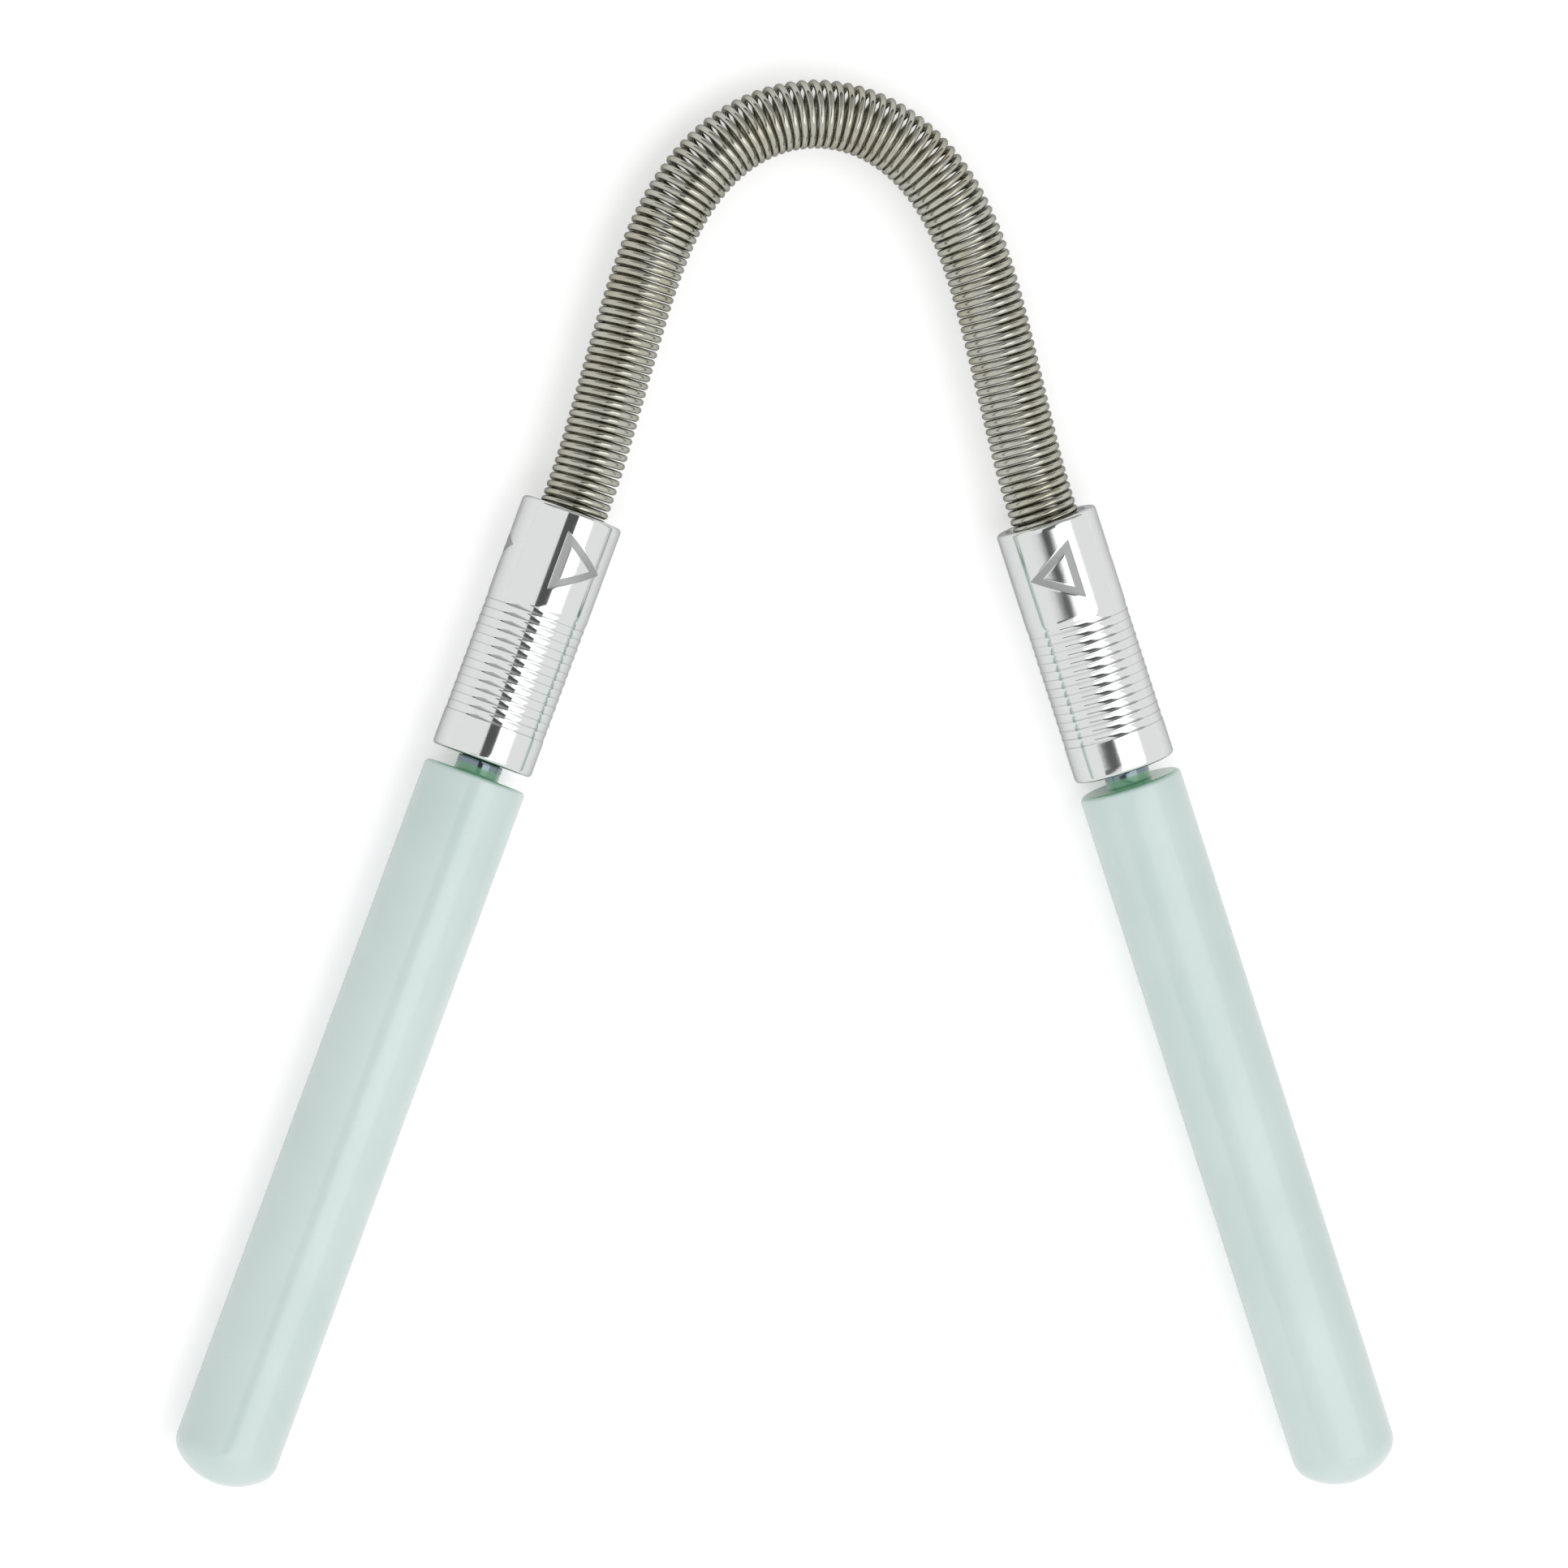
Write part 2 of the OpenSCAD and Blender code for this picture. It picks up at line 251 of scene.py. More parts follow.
def grid_mesh(name, grid, uv, closed_rows=False):
    """Object over a grid of points, rows by columns, whose columns close into rings.

    Face (i, j) joins the points (i, j), (i, j + 1), (i + 1, j + 1) and (i + 1, j). With closed_rows
    the last row joins the first. Otherwise the first and the last row are closed: by one point
    where the row stands on the axis, and by a flat lid where it doesn't. Faces turn outwards.
    uv is the surface map: it has one column more than the grid, and with closed_rows one row
    more, so that it runs on over the seam.
    """
    rows, columns = grid.shape[:2]
    index = np.arange(rows * columns).reshape(rows, columns)
    ends = () if closed_rows else (0, rows - 1)
    poles = [row for row in ends if np.ptp(grid[row], axis=0).max() < POLE]
    for row in poles:
        index[row] = index[row, 0]
    last_row = rows if closed_rows else rows - 1
    i, j = np.meshgrid(np.arange(last_row), np.arange(columns), indexing="ij")
    below, right = (i + 1) % rows, (j + 1) % columns
    quads = np.stack([index[i, j], index[i, right], index[below, right], index[below, j]], -1)
    corner_uv = np.stack([uv[i, j], uv[i, j + 1], uv[i + 1, j + 1], uv[i + 1, j]], 2)
    quads, corner_uv = quads.reshape(-1, 4), corner_uv.reshape(-1, 4, 2)
    keep = quads != np.roll(quads, 1, axis=1)
    used = np.unique(quads)
    points, quads = grid.reshape(-1, 3)[used], np.searchsorted(used, quads)
    outward = sum(triangulated_volume(points, quads[:, half]) for half in ([0, 1, 2], [0, 2, 3]))
    if outward < 0:
        quads, corner_uv, keep = quads[:, ::-1], corner_uv[:, ::-1], keep[:, ::-1]
    whole = keep.all(1)
    faces = quads[whole].tolist() + quads[~whole][keep[~whole]].reshape(-1, 3).tolist()
    corners = [corner_uv[whole].reshape(-1, 2), corner_uv[~whole][keep[~whole]]]
    for row in set(ends) - set(poles):
        ring = np.searchsorted(used, index[row])
        step = 1 if (row == 0) == (outward < 0) else -1
        faces.append(ring[::step].tolist())
        corners.append(uv[row, :columns][::step])
    mesh = bpy.data.meshes.new(name)
    mesh.from_pydata(points.tolist(), [], faces)
    layer = mesh.uv_layers.new(name="surface")
    layer.data.foreach_set("uv", np.concatenate(corners).astype(np.float32).ravel())
    mesh.polygons.foreach_set("use_smooth", np.ones(len(mesh.polygons), bool))
    mesh.update()
    made = bpy.data.objects.new(name, mesh)
    bpy.context.scene.collection.objects.link(made)
    return made


def straight(start, end, steps):
    """Points (radius, height) on the straight line from start up to, but without, end."""
    share = np.arange(steps)[:, None] / steps
    return np.array(start) * (1 - share) + np.array(end) * share


def arc(centre, radius, first, last, steps):
    """Points (radius, height) on a circle from angle first up to, but without, last, in degrees."""
    turn = np.radians(first + (last - first) * np.arange(steps) / steps)
    return np.array(centre) + radius * np.stack([np.cos(turn), np.sin(turn)], -1)


class Arm:
    """The place of one ferrule and handle: a centre at the ferrule's mouth and three directions.

    across points away from the middle line, up is +Z, and along runs from the mouth to the handle's
    tip. side is -1 for the left arm and 1 for the right one.
    """

    def __init__(self, side, ferrule):
        self.side = "left" if side < 0 else "right"
        swivel = joints[f"{self.side}_handle_swivel"]
        self.along = np.array(swivel["axis"], float)
        self.along /= np.linalg.norm(self.along)
        if self.along[1] > 0:
            self.along = -self.along
        self.up = np.array([0.0, 0.0, 1.0])
        self.across = side * np.cross(self.up, self.along)
        self.mouth = np.array(swivel["pos_m"]) - self.along * (ferrule.long - ferrule.end_wall / 2)

    def place(self, x, y, z):
        """Points that lie x across, y up and z along from the mouth."""
        return (
            self.mouth
            + x[..., None] * self.across
            + y[..., None] * self.up
            + z[..., None] * self.along
        )

    def turned(self, name, profile, columns, closed_rows=False, sink=None):
        """Object turned round the arm from a profile of (radius, height) points.

        The point (r, z) at angle a, counted from the top towards the middle line, stands at
        -r sin a across, r cos a up and z along. sink(a, z) lowers the radius where a mark is cut.
        """
        turn = np.arange(columns + 1) / columns * TAU
        radius = np.repeat(profile[:, :1], columns, 1)
        height = np.repeat(profile[:, 1:], columns, 1)
        ring = turn[None, :columns]
        if sink:
            radius = radius - sink(ring, height)
        grid = self.place(-radius * np.sin(ring), radius * np.cos(ring), height)
        if closed_rows:
            profile = np.vstack([profile, profile[:1]])
        uv = np.stack(np.broadcast_arrays(turn[None, :] / TAU, profile[:, 1:] / MM), -1)
        return grid_mesh(name, grid, uv, closed_rows)


# Materials


class Finish:
    """A material with one Principled shader, and short calls to add nodes to it."""

    def __init__(self, name, **sockets):
        self.material = bpy.data.materials.new(name)
        self.material.use_nodes = True
        self.nodes = self.material.node_tree.nodes
        self.links = self.material.node_tree.links
        self.shader = next(n for n in self.nodes if n.type == "BSDF_PRINCIPLED")
        for socket, value in sockets.items():
            self.set(self.shader, socket.replace("_", " "), value)

    def set(self, node, socket, value):
        """Gives a socket a plain value, a colour, or the output of another node."""
        place = node.inputs[socket]
        if isinstance(value, bpy.types.NodeSocket):
            self.links.new(value, place)
        elif place.type == "RGBA" and len(value) == 3:
            place.default_value = (*value, 1)
        else:
            place.default_value = value

    def add(self, kind, inputs=(), **settings):
        """A new node with its settings and inputs; returns the node."""
        node = self.nodes.new(f"ShaderNode{kind}")
        for key, value in settings.items():
            setattr(node, key, value)
        for socket, value in dict(inputs).items():
            self.set(node, socket, value)
        return node

    def math(self, operation, *values):
        """The result of one arithmetic step."""
        return self.add("Math", enumerate(values), operation=operation).outputs[0]

    def fit(self, value, low, high, first, last, kind="LINEAR"):
        """The value carried from the range low to high over to first to last."""
        places = ("Value", "From Min", "From Max", "To Min", "To Max")
        inputs = dict(zip(places, (value, low, high, first, last)))
        return self.add("MapRange", inputs, interpolation_type=kind).outputs["Result"]

    def mix(self, share, first, last):
        """A colour between first and last."""
        node = self.add("Mix", data_type="RGBA")
        for index, value in ((0, share), (6, first), (7, last)):
            self.set(node, index, value)
        return node.outputs[2]

    def place(self, scale, source="Object"):
        """Coordinates of the piece, in metres, or its own surface map, stretched by scale."""
        where = self.add("TexCoord").outputs[source]
        return self.add("Mapping", {"Vector": where, "Scale": scale}).outputs["Vector"]

    def noise(self, vector, scale, detail=3, rough=0.55):
        """Soft random spots of a given fineness."""
        inputs = {"Vector": vector, "Scale": scale, "Detail": detail, "Roughness": rough}
        return self.add("TexNoise", inputs).outputs[0]

    def bump(self, height, distance, strength=1, under=None):
        """Makes the surface look raised by height times distance, over any bump under it."""
        inputs = {"Height": height, "Distance": distance, "Strength": strength}
        if under:
            inputs["Normal"] = under
        out = self.add("Bump", inputs).outputs["Normal"]
        self.set(self.shader, "Normal", out)
        return out


def spring_steel(coil):
    """Drawn steel wire: fine lines along the wire, a warm tint in patches, and small dull spots."""
    f = Finish("spring_steel", Metallic=1, Specular_Tint=(0.5, 0.5, 0.49))
    lines = f.noise(f.place((0.6, 26, 1), "UV"), 1, 4, 0.6)
    patches = f.noise(f.place((1, 1, 1)), 260, 2)
    tint = f.fit(patches, 0.4, 0.75, 0, 0.75)
    patchy = f.fit(lines, 0.5, 0.8, 0, 0.35)
    f.set(f.shader, "Base Color", f.mix(f.math("MAXIMUM", tint, patchy), coil.steel, coil.straw))
    f.set(f.shader, "Roughness", f.fit(lines, 0.3, 0.75, 0.08, 0.2))
    f.bump(lines, 4e-6, 0.5)
    return f.material


def turned_aluminium(ferrule):
    """Polished aluminium with hair-fine lathe lines, dull etched triangles and painted shade in the
    rings.
    """
    f = Finish("polished_aluminium", Metallic=1, Specular_Tint=(0.6, 0.61, 0.61))
    where = f.add("SeparateXYZ", {"Vector": f.add("TexCoord").outputs["UV"]})
    mark = arrow_mark_nodes(f, ferrule, where.outputs[0], where.outputs[1])
    lathe = f.noise(f.place((3, 14, 1), "UV"), 1, 3, 0.6)
    smudge = f.noise(f.place((1, 1, 1)), 320, 3)
    # Painted shade: a darker line in each grip ring, mixed into the base colour.
    line = painted_ring_shade_nodes(f, ferrule, where.outputs[1], smudge)
    metal = f.mix(line, ferrule.metal, ferrule.ring_shade_colour)
    f.set(f.shader, "Base Color", f.mix(mark, metal, ferrule.etch))
    polish = f.fit(smudge, 0.35, 0.75, 0.07, 0.13)
    f.set(f.shader, "Roughness", f.fit(mark, 0, 1, polish, 0.55))
    f.bump(lathe, 1.2e-6, 0.6)
    return f.material


def arrow_mark_nodes(f, ferrule, turn_share, height_mm):
    """The etched triangles of arrow_sink, as a mask from 0 to 1 on the surface map, in mm."""
    share = 1 / ferrule.arrows
    turn = f.math("SUBTRACT", turn_share, ferrule.arrow_turn / TAU)
    turn = f.math("WRAP", turn, share / 2, -share / 2)
    sine = f.math("SINE", f.math("MULTIPLY", turn, TAU))
    reach = f.math("MULTIPLY", sine, ferrule.outer / 2 / MM)
    height = f.math("ABSOLUTE", f.math("SUBTRACT", height_mm, ferrule.arrow_place / MM))
    half, wide = ferrule.arrow_long / 2 / MM, ferrule.arrow_wide / 2 / MM
    slant = math.hypot(2 * half, wide)
    from_base = f.math("ADD", reach, half)
    cover = f.math("MULTIPLY", f.math("SUBTRACT", half, reach), wide / slant)
    from_sides = f.math("SUBTRACT", cover, f.math("MULTIPLY", height, 2 * half / slant))
    edge = f.math("MINIMUM", from_base, from_sides)
    rim = f.math("MINIMUM", edge, f.math("SUBTRACT", ferrule.arrow_line / MM, edge))
    return f.fit(rim, -0.06, -0.02, 0, 1, "SMOOTHSTEP")


def painted_ring_shade_nodes(f, ferrule, height_mm, smudge):
    """Painted shade: a darker line on the last part of each hollow, where the groove lies dark, as
    a mask.
    """
    from_start = f.math("SUBTRACT", height_mm, ferrule.ring_start / MM)
    rings = f.math("DIVIDE", from_start, ferrule.ring_pitch / MM)
    inside = f.math("COMPARE", rings, ferrule.rings / 2, ferrule.rings / 2)
    along = f.math("FRACT", rings)
    line = f.fit(along, 0.74, 0.86, 0, 1, "SMOOTHSTEP")
    end = f.fit(along, 0.9, 0.96, 1, 0, "SMOOTHSTEP")
    patchy = f.fit(smudge, 0.35, 0.65, 0.45, 1)
    return f.math("MULTIPLY", f.math("MULTIPLY", inside, patchy), f.math("MULTIPLY", line, end))


def mint_lacquer(handle, ferrule):
    """Pale mint lacquer under a clear coat, with a faint ripple and a slightly uneven depth.

    On the neck and on the handle's flat top it is glossier, and a deeper green there is painted
    shade.
    It ends half way along the neck, and the rest of the neck and the journal are bare metal, whose
    darker blue-grey on the neck is painted shade.
    """
    f = Finish("mint_lacquer", Coat_Roughness=0.14, Coat_IOR=1.5)
    where = f.place((1, 1, 1))
    depth = f.noise(where, 90, 2)
    grain = f.noise(where, 2600, 2)
    height = f.add("SeparateXYZ", {"Vector": f.add("TexCoord").outputs["UV"]}).outputs[1]
    top = (ferrule.long + handle.neck_gap) / MM
    spread = 0.25
    # Painted shade: a deeper green on the neck and the flat top, where the lacquer is also
    # glossier.
    neck_gloss_and_shade = f.fit(height, top, top + spread, 1, 0)
    rim, soft = (ferrule.long + handle.neck_gap / 2) / MM, 0.08
    # Painted shade: below half way along the neck the metal is bare, in a darker blue-grey that
    # stands for the shade of the gap.
    bare = f.fit(height, rim - soft, rim + soft, 1, 0)
    mint = f.mix(f.fit(depth, 0.35, 0.7, 0, 0.5), handle.lacquer, handle.deep)
    f.set(f.shader, "Base Color", f.mix(bare, f.mix(neck_gloss_and_shade, mint, handle.neck_shade_green), handle.bare))
    f.set(f.shader, "Metallic", bare)
    f.set(f.shader, "Coat Weight", f.fit(bare, 0, 1, 0.9, 0))
    f.set(f.shader, "Roughness", f.fit(neck_gloss_and_shade, 0, 1, f.fit(grain, 0.3, 0.7, 0.3, 0.4), 0.12))
    ripple = f.bump(f.noise(where, 700, 2), 3e-6, 0.35)
    f.bump(grain, 1.5e-6, 0.3, ripple)
    return f.material


def inner_metal(name, clean, dull, spots, grain, smooth, rough):
    """Bare machined metal for the hidden pieces: duller and rougher in small spots."""
    f = Finish(name, Metallic=1)
    where = f.place((1, 1, 1))
    film = f.noise(where, spots, 3)
    f.set(f.shader, "Base Color", f.mix(f.fit(film, 0.4, 0.7, 0, 1), clean, dull))
    f.set(f.shader, "Roughness", f.fit(film, 0.3, 0.7, smooth, rough))
    f.bump(f.noise(where, grain, 2), 1e-6, 0.4)
    return f.material


# Coil


CENTRELINE_POINTS = 16001  # points at which the bend is summed up


def coil_wire(coil, arm_lean):
    """Centre of the wire and the length along it, with the directions round its section.

    At length s from the top of the bend, u = |s| / half the bent length, at most 1. The heading is
    turned clockwise from +X by (90 degrees - leg lean) (u + sin(pi u) / pi), less the smooth swing
    of (arm lean - leg lean) over the mouth bow, with the sign of s. The centreline is the running
    sum of the headings. The coil turns once per pitch, where pitch = (wire + air) / (1 - bending
    times coil radius), so that the turns keep their air on the inside of the bend. The centre of
    the wire lies at coil radius times (cos(turn) inwards - sin(turn) up) from the centreline: a
    right-hand thread.
    """
    radius = (coil.outer - coil.wire) / 2
    half_bare, half_bend = coil.bare / 2, coil.bent / 2
    end = half_bare + coil.seat - coil.wire / 2
    s = np.linspace(-end, end, CENTRELINE_POINTS)
    u = np.minimum(np.abs(s) / half_bend, 1)
    bow = np.clip((np.abs(s) - half_bare + coil.bow) / coil.bow, 0, 1)
    bow = bow * bow * (3 - 2 * bow)
    bend_turn = math.pi / 2 - coil.leg_lean
    turned = bend_turn * (u + np.sin(math.pi * u) / math.pi) - (arm_lean - coil.leg_lean) * bow
    turned = np.sign(s) * turned
    heading = np.stack([np.cos(turned), -np.sin(turned), 0 * s], -1)
    step = s[1] - s[0]
    centre = np.vstack([np.zeros(3), np.cumsum((heading[1:] + heading[:-1]) / 2 * step, 0)])
    centre += np.array(joints["spring_bend"]["pos_m"]) - centre[len(s) // 2]
    bending = np.abs(np.gradient(turned, step))
    air = coil.leg_air + (coil.bend_air - coil.leg_air) * (1 + np.cos(math.pi * u)) / 2
    rate = TAU * (1 - bending * radius) / (coil.wire + air)
    turn = np.concatenate([[0], np.cumsum((rate[1:] + rate[:-1]) / 2 * step)])
    turn -= turn[len(s) // 2]
    steps = int((turn[-1] - turn[0]) / TAU * coil.turn_steps)
    at = np.linspace(turn[0], turn[-1], steps + 1)
    middle, direction = (
        np.stack([np.interp(at, turn, line[:, k]) for k in range(3)], -1)
        for line in (centre, heading)
    )
    inward = np.stack([direction[:, 1], -direction[:, 0], 0 * at], -1)
    inward /= np.linalg.norm(inward, axis=1, keepdims=True)
    out = np.cos(at)[:, None] * inward - np.sin(at)[:, None] * np.array([0, 0, 1])
    wire = middle + radius * out
    ahead = np.gradient(wire, axis=0)
    run = np.concatenate([[0], np.cumsum(np.linalg.norm(np.diff(wire, axis=0), axis=1))])
    ahead /= np.linalg.norm(ahead, axis=1, keepdims=True)
    side = np.cross(ahead, out)
    side /= np.linalg.norm(side, axis=1, keepdims=True)
    return wire, run, np.cross(side, ahead), side


def make_coil(coil, arm_lean):
    """The whole spring as one round wire, section after section along coil_wire."""
    wire, run, out, side = coil_wire(coil, arm_lean)
    turn = np.arange(coil.wire_sides + 1) / coil.wire_sides * TAU
    ring = turn[None, : coil.wire_sides, None]
    section = np.cos(ring) * out[:, None] + np.sin(ring) * side[:, None]
    grid = wire[:, None] + coil.wire / 2 * section
    uv = np.stack(np.broadcast_arrays(run[:, None] / MM, turn[None] / TAU), -1)
    made = grid_mesh("spring_coil", grid, uv)
    made.data.materials.append(spring_steel(coil))
    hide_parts("coil_spring")
    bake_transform(made)
    return made


# Ferrules


def ferrule_profile(f):
    """Half section of a ferrule, from the mouth's inner edge over the outside and back by the bore.

    Each grip ring is the hollow of a circle with radius (chord^2 / 4 + depth^2) / (2 depth), where
    the chord is the pitch less the ridge. The stretch with the triangles has close rows.
    """
    r, bore, hole, mouth = f.outer / 2, f.bore / 2, f.journal_hole / 2, f.mouth / 2
    wall = f.long - f.end_wall
    soft, margin = 0.04 * MM, 0.15 * MM
    mark = f.arrow_place - f.arrow_wide / 2 - margin
    mark_end = f.arrow_place + f.arrow_wide / 2 + margin
    parts = [
        arc((mouth + soft, soft), soft, 180, 270, 4),
        straight((mouth + soft, 0), (r - f.edge, 0), 4),
        arc((r - f.edge, f.edge), f.edge, -90, 0, 10),
        straight((r, f.edge), (r, mark), 6),
        straight((r, mark), (r, mark_end), 84),
        straight((r, mark_end), (r, f.ring_start), 4),
    ]
    half = (f.ring_pitch - f.ring_land) / 2
    hollow = (half**2 + f.ring_deep**2) / (2 * f.ring_deep)
    reach = math.degrees(math.asin(half / hollow))
    for k in range(f.rings):
        z = f.ring_start + (k + 0.5) * f.ring_pitch
        parts.append(arc((r - f.ring_deep + hollow, z), hollow, 180 + reach, 180 - reach, 9))
        parts.append(straight((r, z + half), (r, z + half + f.ring_land), 1))
    ring_end = f.ring_start + f.rings * f.ring_pitch
    parts += [
        straight((r, ring_end), (r, f.long - f.edge), 6),
        arc((r - f.edge, f.long - f.edge), f.edge, 0, 90, 10),
        straight((r - f.edge, f.long), (hole + soft, f.long), 6),
        arc((hole + soft, f.long - soft), soft, 90, 180, 4),
        straight((hole, f.long - soft), (hole, wall), 4),
        straight((hole, wall), (bore, wall), 3),
        straight((bore, wall), (bore, f.mouth_deep), 12),
        straight((bore, f.mouth_deep), (mouth, soft), 5),
    ]
    return np.vstack(parts)


def arrow_edge(ferrule, turn_sin, height):
    """Distance from a point inside a triangle to its nearest side, below zero outside it.

    turn_sin is the sine of the angle from the triangle's middle, and height the distance from it
    along the ferrule. The triangle's point lies where the angle grows.
    """
    half, wide = ferrule.arrow_long / 2, ferrule.arrow_wide / 2
    slant = math.hypot(ferrule.arrow_long, wide)
    reach = turn_sin * (ferrule.outer / 2)
    from_base = reach + half
    from_sides = ((half - reach) * wide - np.abs(height) * ferrule.arrow_long) / slant
    return np.minimum(from_base, from_sides)


def arrow_sink(ferrule):
    """How far the etched triangles lower the surface at an angle and a height, as a function."""

    def sink(turn, height):
        share = TAU / ferrule.arrows
        turn = (turn - ferrule.arrow_turn + share / 2) % share - share / 2
        edge = arrow_edge(ferrule, np.sin(turn), height - ferrule.arrow_place)
        soft = 0.12 * MM
        ramp = np.clip(np.minimum(edge, ferrule.arrow_line - edge) / soft + 0.5, 0, 1)
        return ferrule.arrow_deep * ramp * ramp * (3 - 2 * ramp)

    return sink


def ferrule_cut(ferrule):
    """The etched triangles, cut into the outer rows of the ferrule only, as a function."""
    sink = arrow_sink(ferrule)
    hair = 0.001 * MM
    outside = ferrule_profile(ferrule)[:, :1] > ferrule.outer / 2 - hair

    def cut(turn, height):
        return np.where(outside, sink(turn, height), 0)

    return cut


# Handles


def handle_profile(h, f):
    """Half section of a handle, from the screw hole's bottom over the journal to the domed tip.

    The dome and the shoulder between it and the side touch without a corner: their centres lie
    tip radius - shoulder radius apart.
    """
    r, neck, journal, hole = h.outer / 2, h.neck / 2, h.journal / 2, h.hole / 2
    journal_top = f.long - f.end_wall - h.end_play
    neck_top = f.long + h.shoulder_gap
    top = f.long + h.neck_gap
    dome = top + h.long - h.tip
    inner = r - h.shoulder
    shoulder = dome + math.sqrt((h.tip - h.shoulder) ** 2 - inner**2)
    lean = math.degrees(math.atan2(shoulder - dome, inner))
    fillet = 0.18 * MM
    soft = 0.05 * MM
    return np.vstack([
        straight((0, journal_top + h.hole_deep), (hole, journal_top + h.hole_deep), 3),
        straight((hole, journal_top + h.hole_deep), (hole, journal_top), 8),
        straight((hole, journal_top), (journal - soft, journal_top), 2),
        arc((journal - soft, journal_top + soft), soft, -90, 0, 3),
        straight((journal, journal_top + soft), (journal, neck_top), 5),
        straight((journal, neck_top), (neck - soft, neck_top), 2),
        arc((neck - soft, neck_top + soft), soft, -90, 0, 3),
        straight((neck, neck_top + soft), (neck, top - fillet), 4),
        arc((neck + fillet, top - fillet), fillet, 180, 90, 6),
        straight((neck + fillet, top), (r - h.edge, top), 8),
        arc((r - h.edge, top + h.edge), h.edge, -90, 0, 12),
        straight((r, top + h.edge), (r, shoulder), 48),
        arc((inner, shoulder), h.shoulder, 0, lean, 16),
        arc((0, dome), h.tip, lean, 90, 24),
        [(0, dome + h.tip)],
    ])


# Stage


PHOTO_PIXELS = 1932  # width and height of the photograph
SENSOR_MM = 36
NEAREST, FARTHEST = 0.01, 20

# Places and sizes in metres, from the middle of the object
FLOOR_WIDE = 12
LIGHT_ACROSS, LIGHT_ALONG = 1.32, 1.1
LIGHT_Y, LIGHT_Z = -0.1, 1.22
KEY_X, FILL_X = 0.41, -0.2
WALL_CENTRE = (0, 1.5, 0.92)
WALL_ACROSS, WALL_UP = 4.2, 1.78
WALL_DARK_UP_TO, WALL_PALE_FROM = -0.7, -0.35
CARD_Z = 1.2
CARD_THINS_FROM, CARD_FAR_END = 0.3, 0.75
CARD_FAR_COVER = 0.5
LENS_CARD = (
    (0.40, CARD_FAR_END), (-0.16, CARD_FAR_END), (-0.52, -0.28), (-1.60, -0.86),
    (-1.60, -1.10), (-0.60, -0.47), (-0.13, -0.165), (0.14, -0.02),
)


def aim_camera(stage):
    """Turns the camera by yaw, pitch and roll round the aim, and sets its lens by the scale."""
    yaw, pitch = stage.yaw, stage.pitch
    back = Vector((
        -math.sin(yaw) * math.cos(pitch), math.sin(pitch), math.cos(yaw) * math.cos(pitch)
    ))
    right = Vector((math.cos(yaw), 0, math.sin(yaw)))
    level = Matrix((right, back.cross(right), back)).transposed()
    turn = level @ Matrix.Rotation(-stage.roll, 3, "Z")
    data = bpy.data.cameras.new("photo_camera")
    camera = bpy.data.objects.new("photo_camera", data)
    aim = Vector((stage.aim_x, stage.aim_y, joints["spring_bend"]["pos_m"][2]))
    camera.matrix_world = Matrix.Translation(aim + back * stage.distance) @ turn.to_4x4()
    data.sensor_width = SENSOR_MM
    data.lens = data.sensor_width * stage.distance / (PHOTO_PIXELS / stage.scale * MM)
    data.clip_start, data.clip_end = NEAREST, FARTHEST
    bpy.context.scene.collection.objects.link(camera)
    bpy.context.scene.camera = camera


def flat(name, corners, material):
    """A flat face of the studio through its corners."""
    mesh = bpy.data.meshes.new(name)
    mesh.from_pydata([(x, y, 0) for x, y in corners], [], [range(len(corners))])
    mesh.materials.append(material)
    made = bpy.data.objects.new(name, mesh)
    bpy.context.scene.collection.objects.link(made)
    return made


def plate(name, across, along, material):
    """A flat rectangle of the studio, across by along, round its own middle."""
    x, y = across / 2, along / 2
    return flat(name, [(-x, -y), (x, -y), (x, y), (-x, y)], material)


def make_floor(stage):
    """A plain pale floor under the object.

    What the camera sees of it glows by lift, which pales the shadow, and what metal and glass see
    of it by a share of lift.
    """
    f = Finish("pale_floor", Base_Color=stage.floor, Roughness=0.9, Specular_IOR_Level=0.1)
    path = f.add("LightPath").outputs
    mirrored = f.math("ADD", path["Is Glossy Ray"], path["Is Transmission Ray"])
    share = f.math("MULTIPLY", mirrored, stage.mirrored)
    seen = f.math("ADD", path["Is Camera Ray"], share)
    f.set(f.shader, "Emission Color", (1, 1, 1))
    f.set(f.shader, "Emission Strength", f.math("MULTIPLY", seen, stage.lift))
    plate("floor", FLOOR_WIDE, FLOOR_WIDE, f.material)


def make_sky(stage):
    """Even, colourless light from all round."""
    world = bpy.data.worlds.new("studio_room")
    world.use_nodes = True
    shade = next(n for n in world.node_tree.nodes if n.type == "BACKGROUND")
    shade.inputs["Color"].default_value = (1, 1, 1, 1)
    shade.inputs["Strength"].default_value = stage.sky
    bpy.context.scene.world = world


def make_lights(stage):
    """Two equal soft lights overhead: the key to the right, and a fill that nothing mirrors."""
    for name, level, x in (("key", stage.key, KEY_X), ("fill", stage.fill, FILL_X)):
        data = bpy.data.lights.new(name, "AREA")
        data.shape, data.size, data.size_y = "RECTANGLE", LIGHT_ACROSS, LIGHT_ALONG
        data.energy = level * math.pi * data.size * data.size_y
        light = bpy.data.objects.new(name, data)
        light.location = (x, LIGHT_Y, LIGHT_Z)
        light.visible_camera = False
        light.visible_glossy = name == "key"
        bpy.context.scene.collection.objects.link(light)


def make_lens_card(stage):
    """A dark grey card beside the camera, thin enough to see through towards its far end."""
    f = Finish("lens_card", Base_Color=stage.card, Roughness=0.9, Specular_IOR_Level=0.0)
    y = f.add("SeparateXYZ", {"Vector": f.add("TexCoord").outputs["Object"]}).outputs[1]
    f.set(f.shader, "Alpha", f.fit(y, CARD_THINS_FROM, CARD_FAR_END, 1, CARD_FAR_COVER))
    card = flat("lens_card", LENS_CARD, f.material)
    card.location = (0, 0, CARD_Z)
    card.visible_camera = False


